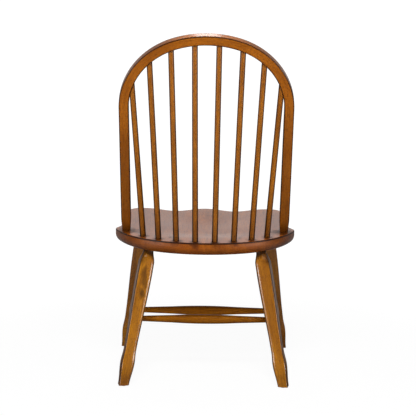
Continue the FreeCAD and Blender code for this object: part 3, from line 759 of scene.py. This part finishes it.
@dataclass
class Bow:
    """The bent bow: one half is modelled in the bow's own plane, and mirrored.

    In that plane X runs to the chair's left, Y up the slope and Z to the front.
    """

    foot: Point = (0.0, 0.02560, 0.42933)
    lean: float = 21.0
    height: float = 0.6335
    foot_half: float = 0.2317
    shoulder_inset: float = 0.022
    shoulder_radius: float = 0.213
    shoulder_steps: int = 40
    crown_radius: float = 0.285
    crown_steps: int = 10
    face: float = 0.029
    thickness: float = 0.022
    edge_round: float = 0.002
    taper: float = 0.042
    foot_face: float = 0.0227
    foot_thickness: float = 0.020
    foot_rounding: float = 0.12
    tenon_length: float = 0.026
    tenon_radius: float = 0.0088
    shoulder: float = 0.001
    joint_gap: float = 0.0001
    # Painted shade: darker towards the foot, and on the outer face as it turns to the side.
    foot_darkening: Ramp = Ramp(0.075, 0.0, 0.75)
    outside_shade: Ramp = Ramp(0.05, 0.15, 0.6)
    merged: float = 0.0001
    stain: Stain = Stain(BOW_WOOD, seed=0.4, glaze_and_shade_dulling=0.75)

    def __post_init__(self) -> None:
        """Works out the two arcs of the bow's middle line."""
        extra = self.crown_radius - self.shoulder_radius
        self.crown_centre = Vector((0.0, self.height - self.crown_radius, 0.0))
        rise = math.sqrt(extra**2 - self.shoulder_inset**2)
        self.shoulder_centre = self.crown_centre + Vector((self.shoulder_inset, rise, 0.0))
        self.join_angle = math.atan2(rise, self.shoulder_inset)
        to_foot = OUT * self.foot_half - self.shoulder_centre
        half_turn = math.acos(self.shoulder_radius / to_foot.length)
        self.start_angle = math.atan2(to_foot.y, to_foot.x) + half_turn
        outwards = Vector((math.cos(self.start_angle), math.sin(self.start_angle), 0.0))
        self.leg_top = self.shoulder_centre + outwards * self.shoulder_radius
        self.lift = (self.leg_top - OUT * self.foot_half).normalized()

    def placement(self) -> Matrix:
        """From the bow's own plane to the chair."""
        angle = math.radians(self.lean)
        slope = Vector((0.0, math.sin(angle), math.cos(angle)))
        turn = Matrix((OUT, slope, OUT.cross(slope))).transposed().to_4x4()
        return Matrix.Translation(self.foot) @ turn

    def unrolled(self, place: Vector) -> Marks:
        """A vertex's place across, through and along the bow, and where its glaze and painted shade lie."""
        flat = Vector((abs(place.x), place.y, 0.0))
        from_shoulder = flat - self.shoulder_centre
        angle = math.atan2(from_shoulder.y, from_shoulder.x)
        crown_arc = self.crown_radius * (math.pi / 2 - self.join_angle)
        if angle < self.start_angle or place.y < self.leg_top.y / 2:
            relative = flat - self.leg_top
            shoulder_arc = self.shoulder_radius * (self.join_angle - self.start_angle)
            along = crown_arc + shoulder_arc - relative.dot(self.lift)
            across = relative.dot(Vector((self.lift.y, -self.lift.x, 0.0)))
        elif angle < self.join_angle:
            along = crown_arc + self.shoulder_radius * (self.join_angle - angle)
            across = from_shoulder.length - self.shoulder_radius
        else:
            from_crown = flat - self.crown_centre
            along = self.crown_radius * (math.pi / 2 - math.atan2(from_crown.y, from_crown.x))
            across = from_crown.length - self.crown_radius
        edge = from_arris(across, place.z, (self.face / 2, self.thickness / 2), self.edge_round)
        outside = across > (self.face - self.edge_round) / 2
        # Painted shade at the foot and on the outer face.
        held = max(self.foot_darkening.at(place.y), self.outside_shade.at(flat.x) if outside else 0.0)
        return (across, place.z, math.copysign(along, place.x)), edge, held

    def half(self) -> Workpiece:
        """Sweeps the left half from the leg to the crown and tapers its foot."""
        piece = Workpiece.square_blank("bow", self.face, self.thickness, self.edge_round)
        lift = self.lift
        full = OUT * self.foot_half + lift * self.taper
        piece.place(frame_along(full, full + lift, OUT))
        bpy.ops.mesh.select_all(action="SELECT")
        piece.push(self.leg_top - full)
        piece.sweep(self.join_angle - self.start_angle, self.shoulder_centre, UP, self.shoulder_steps)
        piece.sweep(math.pi / 2 - self.join_angle, self.crown_centre, UP, self.crown_steps)
        bpy.ops.mesh.delete(type="FACE")
        slack, square_on = 0.0001, 0.9

        def foot_end(middle: Vector, normal: Vector) -> bool:
            return (middle - full).dot(lift) < slack and abs(normal.dot(lift)) > square_on

        piece.pick_faces(foot_end)
        below = self.taper + self.thickness / 2
        size = self.face, self.thickness
        for share in (0.5, 1.0):
            piece.push(lift * (-below / 2))
            centre = full - lift * (below * share)
            width = self.face + (self.foot_face - self.face) * share
            depth = self.thickness + (self.foot_thickness - self.thickness) * share
            piece.size((width / size[0], 1.0, depth / size[1]), centre)
            piece.round_off(self.foot_rounding, centre)
            size = width, depth
        return piece

    def shape(self, seat: SeatPlane) -> bpy.types.Object:
        """Mirrors the half bow, stands it on the seat and cuts its tenons."""
        piece = self.half()
        turn_to("OBJECT")
        mirror = piece.thing.modifiers.new("other_half", "MIRROR")
        mirror.use_axis = (True, False, False)
        mirror.merge_threshold = self.merged
        bpy.ops.object.modifier_apply(modifier=mirror.name)
        write_grain(piece.thing, self.unrolled)
        turn_to("EDIT")
        piece.place(self.placement())
        down = -seat.normal()
        top = seat.point(-self.joint_gap)
        piece.saw(top, down)
        run = self.placement().to_3x3() @ self.lift * -self.tenon_length
        for side in (1.0, -1.0):
            way = Vector((run.x * side, run.y, run.z))
            piece.tenon(on_plane(top, down, side), way, self.tenon_radius, self.shoulder)
        return piece.finish()

    def build(self, seat: SeatPlane) -> None:
        """Models, stains and hands in the bow."""
        hand_in(self.shape(seat), self.stain, "bow")


@dataclass
class Spindles:
    """The eight turned spindles of the back.

    A line gives where a left spindle's middle line meets the seat and the bow. The painted shade down
    the sides goes by the distance from it in radii, and the darkening towards the foot and the dark joint by the
    height.
    """

    lines: tuple[tuple[Point, Point], ...] = (
        ((0.02822, 0.16276, 0.42521), (0.03448, 0.24873, 1.01962)),
        ((0.08343, 0.15103, 0.42557), (0.10145, 0.24275, 1.00404)),
        ((0.13500, 0.12808, 0.42625), (0.16239, 0.22915, 0.96921)),
        ((0.18067, 0.09491, 0.42725), (0.21315, 0.20424, 0.90795)),
    )
    foot_radius: float = 0.0088
    radius: float = 0.0086
    top_radius: float = 0.0083
    flare: float = 0.060
    seat_depth: float = 0.016
    steps: int = 6
    sides: int = 28
    # Painted shade down both sides of each spindle.
    side_shade: Ramp = Ramp(0.35, 0.95, 0.85)
    # Darker towards the foot.
    foot_darkening: Ramp = Ramp(0.09, 0.01, 0.5)
    joint_reach: float = 0.02
    seed_step: float = 0.6
    coat: float = 0.3
    glaze_and_shade_dulling: float = 0.95

    def grain(self, place: Vector) -> Marks:
        """What the stain follows at a place of the spindle."""
        # Painted shade on the sides, and darker towards the foot.
        held = self.side_shade.at(abs(place.x) / self.radius) + self.foot_darkening.at(place.z)
        return tuple(place), max(0.0, place.z / self.joint_reach), min(1.0, held)

    def shape(self, name: str, base: Vector, top: Vector) -> bpy.types.Object:
        """Turns one spindle from its foot in the seat to its top in the bow."""
        length = (top - base).length
        stations = [(-self.seat_depth, self.foot_radius), (0.0, self.foot_radius), (self.flare, self.radius)]
        for step in range(1, self.steps + 1):
            share = step / self.steps
            height = self.flare + (length - self.flare) * share
            stations.append((height, self.radius + (self.top_radius - self.radius) * share))
        return turned(name, self.sides, stations, self.grain, frame_along(base, top, OUT))

    def build(self) -> None:
        """Models, stains and hands in all eight."""
        for index, (base, top) in enumerate(self.lines, start=1):
            left = self.shape(f"turned_{index}", Vector(base), Vector(top))
            look = {"seed": self.seed_step * index, "coat": self.coat, "glaze_and_shade_dulling": self.glaze_and_shade_dulling}
            for thing, side in ((left, "left"), (mirrored(left), "right")):
                hand_in(thing, Stain(SPINDLE_WOOD, **look), f"spindle_{side}_{index}")


@dataclass(frozen=True)
class LegLine:
    """A left leg's middle line from seat to glide, how far its faces are turned, and both sides' tones, which
    darken the front legs as painted shade.
    """

    name: str
    top: Point
    foot: Point
    turn: float
    seed: float
    tones: tuple[float, float] = (1.0, 1.0)


@dataclass
class Legs:
    """The four shaped legs, with a round neck, a full shoulder, a slim ankle and a bulge over the foot.

    The ramps say where painted shade lies: by the height over the foot, by the distance below the seat,
    and by the place on a face as a share of half its width.
    """

    lines: tuple[LegLine, ...] = (
        LegLine("leg_rear", (0.16350, 0.09865, 0.38662), (0.23252, 0.18721, 0.003), 10.0, 1.1),
        # The front legs' tones are painted shade from the seat above them.
        LegLine("leg_front", (0.18500, -0.18622, 0.39517), (0.23942, -0.25044, 0.003), -10.0, 2.0, (0.9, 0.7)),
    )
    neck: float = 0.028
    neck_rounding: float = 0.3
    shoulder: float = 0.0424
    shoulder_drop: float = 0.035
    widest: float = 0.0434
    widest_drop: float = 0.080
    ankle: float = 0.0338
    ankle_rise: float = 0.102
    bulge: float = 0.0382
    bulge_rise: float = 0.065
    foot: float = 0.0292
    steps: tuple[int, ...] = (8, 3, 5, 5, 7)
    corner: float = 0.0095
    outer_corner: float = 0.0035
    crown: float = 0.05
    spare: float = 0.012
    tenon_length: float = 0.019
    tenon_radius: float = 0.0118
    neck_shoulder: float = 0.001
    joint_gap: float = 0.0001
    glaze_and_shade_width: float = 0.2
    glaze_and_shade_dulling: float = 0.92
    outer_turn: float = 1.0
    outer_spread: float = 1.6
    # The inner corner's dark line lies on its far side, next to the inner face, as painted shade along that
    # edge.
    inner_turn: float = 0.95
    inner_spread: float = 0.35
    # Painted shade: darker at the foot, under the seat, on the outer shoulder below the seat and on the outer
    # flank.
    foot_darkening: Ramp = Ramp(0.06, 0.0, 0.3)
    under_seat_shade: Ramp = Ramp(0.028, 0.008, 0.85)
    neck_shade: Ramp = Ramp(0.055, 0.035, 0.75)
    neck_outer: Ramp = Ramp(0.2, 0.8)
    flank_shade_least: float = 0.3
    flank_shade: Ramp = Ramp(0.1, 0.45, 0.6)
    smeared: str = "leg_rear_left"
    smears: tuple[Smear, ...] = (
        Smear((0.182, 0.147, 0.265), 0.012, 0.7, (1.0, 1.0, 0.45)),
        Smear((0.175, 0.137, 0.310), 0.014, 0.6, (1.0, 1.0, 0.22)),
    )

    def stops(self, length: float) -> list[tuple[float, float]]:
        """The widths that a leg is shaped to, each with its distance down from the top."""
        return [
            (0.0, self.neck),
            (self.shoulder_drop, self.shoulder),
            (self.widest_drop, self.widest),
            (length - self.ankle_rise, self.ankle),
            (length - self.bulge_rise, self.bulge),
            (length, self.foot),
        ]

    def width(self, along: float, length: float) -> float:
        """The leg's width at a distance down from its top."""
        if along <= 0.0:
            return self.neck
        stops = self.stops(length)
        for (upper, first), (lower, second) in zip(stops, stops[1:]):
            if along <= lower:
                share = (along - upper) / (lower - upper)
                return first + (second - first) * (0.5 - 0.5 * math.cos(math.pi * share))
        return self.foot

    def stations(self, length: float) -> list[tuple[float, float]]:
        """Heights at which the leg's section is set, from below its foot up, and its width there."""
        drops = [drop for drop, _ in self.stops(length)]
        result = [length + self.spare]
        for upper, lower, count in reversed(list(zip(drops, drops[1:], self.steps))):
            result += [lower - (lower - upper) * step / count for step in range(count)]
        result += [0.0, -self.spare]
        return [(length - along, self.width(along, length)) for along in result]

    def placement(self, line: LegLine) -> Matrix:
        """Stands the leg's own axes on its line: X outwards, Y to the back, Z up."""
        top, foot = Vector(line.top), Vector(line.foot)
        up = (top - foot).normalized()
        back = Vector((0.0, 1.0, 0.0))
        back = (back - up * back.dot(up)).normalized()
        angle = math.radians(line.turn)
        return frame_along(foot, top, back.cross(up) * math.cos(angle) + back * math.sin(angle))

    def grain(self, place: Vector, length: float) -> Marks:
        """What the stain follows at a place of a leg."""
        below = length - place.z
        half = self.width(below, length) / 2
        outer = place.x > 0.0
        corner, turn, spread = (
            (self.outer_corner, self.outer_turn, self.outer_spread)
            if outer
            else (self.corner, self.inner_turn, self.inner_spread)
        )
        radius = corner * 2.0 * half / self.widest
        edge = from_arris(place.x, place.y, (half, half), radius, turn) * spread
        # Painted shade at the foot, under the seat, on the outer shoulder and on the outer flank.
        ends = self.foot_darkening.at(place.z) + self.under_seat_shade.at(below)
        neck = self.neck_shade.at(below) * self.neck_outer.at(place.x / half)
        on_flank = place.x > half - radius / 2
        flank = self.flank_shade_least + self.flank_shade.at(abs(place.y) / half) if on_flank else 0.0
        return tuple(place), edge, max(ends, neck, flank)

    def shape(self, line: LegLine, seat: SeatPlane) -> bpy.types.Object:
        """Builds a leg up from its foot, section by section, and cuts its ends."""
        length = (Vector(line.top) - Vector(line.foot)).length
        share = self.foot / self.widest
        corners = self.corner * share, self.outer_corner * share
        piece = Workpiece.square_blank(line.name, self.foot, self.foot, corners[0], self.crown, corners[1])
        piece.draw_up(self.stations(length), self.neck_rounding, length - self.shoulder_drop)
        piece.mark(lambda place: self.grain(place, length))
        piece.place(self.placement(line))
        piece.saw(UP * line.foot[2], -UP)
        up = seat.normal()
        underside = seat.point(seat.thickness + self.joint_gap)
        piece.saw(underside, up)
        run = (Vector(line.top) - Vector(line.foot)).normalized() * self.tenon_length
        piece.tenon(on_plane(underside, up), run, self.tenon_radius, self.neck_shoulder)
        return piece.finish()

    def build(self, seat: SeatPlane) -> None:
        """Models, stains and hands in all four."""
        for line in self.lines:
            left = self.shape(line, seat)
            look = {"seed": line.seed, "glaze_and_shade_width": self.glaze_and_shade_width, "glaze_and_shade_dulling": self.glaze_and_shade_dulling}
            for thing, side, tone in zip((left, mirrored(left)), ("left", "right"), line.tones):
                node = f"{line.name}_{side}"
                smears = self.smears if node == self.smeared else ()
                hand_in(thing, Stain(LEG_WOOD, tone=tone, smears=smears, **look), node)


@dataclass
class Stretchers:
    """The two side stretchers and the two cross stretchers between them.

    The painted shade along the top and bottom goes by the distance from the middle in radii, the end glaze by
    that from the end.
    """

    side_start: Point = (0.21784, -0.22496, 0.1578)
    side_end: Point = (0.20455, 0.15133, 0.1578)
    side_radius: float = 0.0085
    side_short: float = 0.003
    cross_half_spacing: float = 0.0535
    cross_radius: float = 0.0075
    cross_short: float = 0.0025
    swell_start_radius: float = 0.01125
    swell_radius: float = 0.014
    swell_half: float = 0.095
    steps: int = 30
    sides: int = 36
    # Painted shade along the top and the bottom of each stretcher.
    side_shade: Ramp = Ramp(0.45, 1.0, 0.5)
    end_glaze: Ramp = Ramp(0.04, 0.0, 0.3)
    coat: float = 0.35
    first_seed: float = 2.3
    seed_step: float = 0.5
    # Painted light on the front cross stretcher, and painted shade on the rear one.
    front_painted_light: float = 1.35
    rear_painted_shade: float = 0.9

    def radius(self, from_middle: float, half: float, end_radius: float) -> float:
        """The stretcher's radius at a distance from its middle."""
        if from_middle >= self.swell_half:
            share = (from_middle - self.swell_half) / (half - self.swell_half)
            return self.swell_start_radius + (end_radius - self.swell_start_radius) * share
        rise = self.swell_radius - self.swell_start_radius
        curve = (self.swell_half**2 + rise**2) / (2 * rise)
        return self.swell_radius - curve + math.sqrt(curve**2 - from_middle**2)

    def shape(self, name: str, start: Vector, end: Vector, end_radius: float) -> bpy.types.Object:
        """Turns one stretcher from end to end."""
        length = (end - start).length
        half = length / 2

        def radius_at(height: float) -> float:
            return self.radius(abs(height - half), half, end_radius)

        def grain(place: Vector) -> Marks:
            # Painted shade along the top and bottom, and glaze towards the ends.
            held = self.side_shade.at(abs(place.x) / radius_at(place.z))
            return tuple(place), 1.0, held + self.end_glaze.at(half - abs(place.z - half))

        heights = [length * step / self.steps for step in range(self.steps + 1)]
        stations = [(height, radius_at(height)) for height in heights]
        return turned(name, self.sides, stations, grain, frame_along(start, end, UP))

    def build(self) -> None:
        """Models, stains and hands in all four."""
        start, end = Vector(self.side_start), Vector(self.side_end)
        axis = (end - start).normalized()
        short = axis * self.side_short
        left = self.shape("side_stretcher_left", start + short, end - short, self.side_radius)
        pieces = [("side_stretcher_left", left, 1.0), ("side_stretcher_right", mirrored(left), 1.0)]
        crosses = ("cross_stretcher_front", -1.0, self.front_painted_light), ("cross_stretcher_rear", 1.0, self.rear_painted_shade)
        for name, place, tone in crosses:
            meeting = (start + end) / 2 + axis * (place * self.cross_half_spacing)
            half = meeting.x - self.cross_short
            first = Vector((-half, meeting.y, meeting.z))
            last = Vector((half, meeting.y, meeting.z))
            pieces.append((name, self.shape(name, first, last, self.cross_radius), tone))
        for index, (node, thing, tone) in enumerate(pieces):
            seed = self.first_seed + self.seed_step * index
            stain = Stain(STRETCHER_WOOD, seed=seed, tone=tone, coat=self.coat)
            hand_in(thing, stain, node)


@dataclass
class Hardware:
    """The floor glides and the bow's screws, whose solids are dressed only."""

    glides: tuple[str, ...] = ("glide_front_left", "glide_front_right", "glide_rear_left", "glide_rear_right")
    screws: str = "bow_screws"

    def build(self) -> None:
        """Gives each its own material."""
        nylon = Nylon().material()
        for name in self.glides:
            paint(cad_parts[name], nylon)
        paint(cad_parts[self.screws], Steel().material())


# Studio


@dataclass(frozen=True)
class Softbox:
    """A rectangular lamp that looks at the chair.

    One without glint isn't mirrored in the lacquer, and one without fill does nothing else.
    """

    name: str
    place: Point
    width: float
    height: float
    power: float
    aim: Point = (0.0, 0.0, 0.45)
    glint: bool = True
    fill: bool = True

    def build(self) -> None:
        """Hangs the lamp."""
        data = bpy.data.lights.new(self.name, "AREA")
        data.shape = "RECTANGLE"
        data.size, data.size_y, data.energy = self.width, self.height, self.power
        lamp = bpy.data.objects.new(self.name, data)
        lamp.location = self.place
        lamp.visible_glossy, lamp.visible_diffuse = self.glint, self.fill
        lamp.rotation_euler = (Vector(self.aim) - Vector(self.place)).to_track_quat("-Z", "Y").to_euler()
        bpy.context.collection.objects.link(lamp)


@dataclass
class Studio:
    """A white floor and background, soft lamps and the camera behind the chair.

    The lacquer mirrors a darker room than the camera sees. The ramps say where it is lit: over the
    floor by the depth and by the distance to either side, and in the distance by the direction's depth.
    """

    lens: float = 178.18
    sensor: float = 36.0
    sight: float = 100.0
    camera_place: Point = (0.0, 5.9649, 1.682)
    pitch: float = 11.29
    roll: float = 0.65
    shift_x: float = 0.0064
    shift_y: float = 0.0005
    floor_size: float = 40.0
    floor_colour: Colour = grey(0.5)
    floor_white: float = 1.1
    floor_share: float = 0.86
    floor_fade: Ramp = Ramp(0.6, 2.0)
    backdrop: float = 0.72
    room: float = 0.03
    ambient: float = 0.12
    lit_front: Ramp = Ramp(-0.35, -0.75, 0.62)
    lit_beside: Ramp = Ramp(0.3, 0.6, 0.35)
    lit_beside_end: Ramp = Ramp(1.8, 1.2)
    lit_beside_back: Ramp = Ramp(1.0, 0.4)
    unlit_distance: Ramp = Ramp(-0.55, -0.1)
    lamps: tuple[Softbox, ...] = (
        Softbox("key", (0.0, 2.1, 3.0), 1.2, 0.8, 76.0, glint=False),
        Softbox("over_back", (0.0, -1.0, 2.45), 0.5, 0.5, 6.8, (0.0, 0.26, 1.03)),
        Softbox("left_box", (2.4, 1.9, 0.4), 1.8, 0.55, 56.0, (0.0, 0.1, 0.4), fill=False),
        Softbox("right_box", (-2.4, 1.9, 0.4), 1.8, 0.55, 56.0, (0.0, 0.1, 0.4), fill=False),
        Softbox("left_fill", (2.4, 1.9, 0.5), 1.8, 0.8, 19.0, glint=False),
        Softbox("right_fill", (-2.4, 1.9, 0.5), 1.8, 0.8, 17.0, glint=False),
    )

    def camera(self) -> None:
        """Sets up the camera at the photograph's viewing angle."""
        data = bpy.data.cameras.new("camera")
        data.lens = self.lens
        data.sensor_width = self.sensor
        data.shift_x, data.shift_y = self.shift_x, self.shift_y
        data.clip_end = self.sight
        camera = bpy.data.objects.new("camera", data)
        turn = Matrix.Rotation(math.pi, 4, "Z") @ Matrix.Rotation(math.radians(90.0 - self.pitch), 4, "X")
        roll = Matrix.Rotation(math.radians(self.roll), 4, "Z")
        camera.matrix_world = Matrix.Translation(self.camera_place) @ turn @ roll
        bpy.context.collection.objects.link(camera)
        bpy.context.scene.camera = camera

    def floor(self) -> None:
        """Lays a plain floor that takes the chair's shadow, and that is nearly white to the camera."""
        bpy.ops.object.select_all(action="DESELECT")
        bpy.ops.mesh.primitive_plane_add(size=self.floor_size)
        floor = bpy.context.active_object
        floor.name = floor.data.name = "floor"
        material, graph = new_material("floor_paint")
        place = graph.place()
        depth = graph.part(place, "Y")
        beside = graph.part(place, "X").math("ABSOLUTE")
        across = graph.ramp(beside, self.lit_beside) * graph.ramp(beside, self.lit_beside_end)
        sides = across * graph.ramp(depth, self.lit_beside_back)
        lit = graph.ramp(depth, self.lit_front).math("MAXIMUM", sides)
        matt = graph.add("ShaderNodeBsdfDiffuse", {}, {"Color": self.floor_colour})
        white = graph.add("ShaderNodeEmission", {}, {"Color": grey(1.0), "Strength": self.floor_white})
        mirrored_light = graph.mix(lit, grey(self.room), grey(self.backdrop))
        seen_in_gloss = graph.add("ShaderNodeEmission", {}, {"Color": mirrored_light, "Strength": 1.0})
        seen = graph.add("ShaderNodeLightPath", output="Is Camera Ray")
        fade = graph.ramp(graph.vector("LENGTH", place, output="Value"), self.floor_fade)
        share = fade * (1.0 - self.floor_share) + self.floor_share
        surface = graph.add("ShaderNodeMixShader", {}, {0: seen * share, 1: matt, 2: white})
        glossy = {0: seen.twin("Is Glossy Ray"), 1: surface, 2: seen_in_gloss}
        surface = graph.add("ShaderNodeMixShader", {}, glossy)
        graph.add("ShaderNodeOutputMaterial", {}, {"Surface": surface})
        floor.data.materials.append(material)

    def surroundings(self) -> None:
        """A white background for the camera, a partly lit room for reflections and dim light for the rest."""
        world = bpy.data.worlds.new("surroundings")
        world.use_nodes = True
        bpy.context.scene.world = world
        graph = Graph(world.node_tree)
        camera = graph.add("ShaderNodeLightPath", output="Is Camera Ray")
        seen = camera.math("MAXIMUM", camera.twin("Is Transmission Ray"))
        depth = graph.part(graph.add("ShaderNodeTexCoord", output="Generated"), "Y")
        unlit = graph.ramp(depth, self.unlit_distance)
        mirrored_light = graph.mix(unlit, grey(self.backdrop), grey(self.room))
        unseen = graph.mix(camera.twin("Is Glossy Ray"), grey(self.ambient), mirrored_light)
        colour = graph.mix(seen, unseen, grey(1.0))
        light = graph.add("ShaderNodeBackground", {}, {"Color": colour, "Strength": 1.0})
        graph.add("ShaderNodeOutputWorld", {}, {"Surface": light})

    def build(self) -> None:
        """Sets up everything round the chair."""
        bpy.context.scene.view_settings.view_transform = "Standard"
        self.surroundings()
        self.floor()
        for lamp in self.lamps:
            lamp.build()
        self.camera()
        LOG.info("studio: %d lamps", len(self.lamps))


def main() -> None:
    """Builds the chair piece by piece and the studio round it."""
    logging.basicConfig(level=logging.INFO, format="%(name)s: %(message)s")
    seat = SeatPlane()
    SeatBoards().build()
    Bow().build(seat)
    Spindles().build()
    Legs().build(seat)
    Stretchers().build()
    Hardware().build()
    Studio().build()


if __name__ == "__main__":
    main()
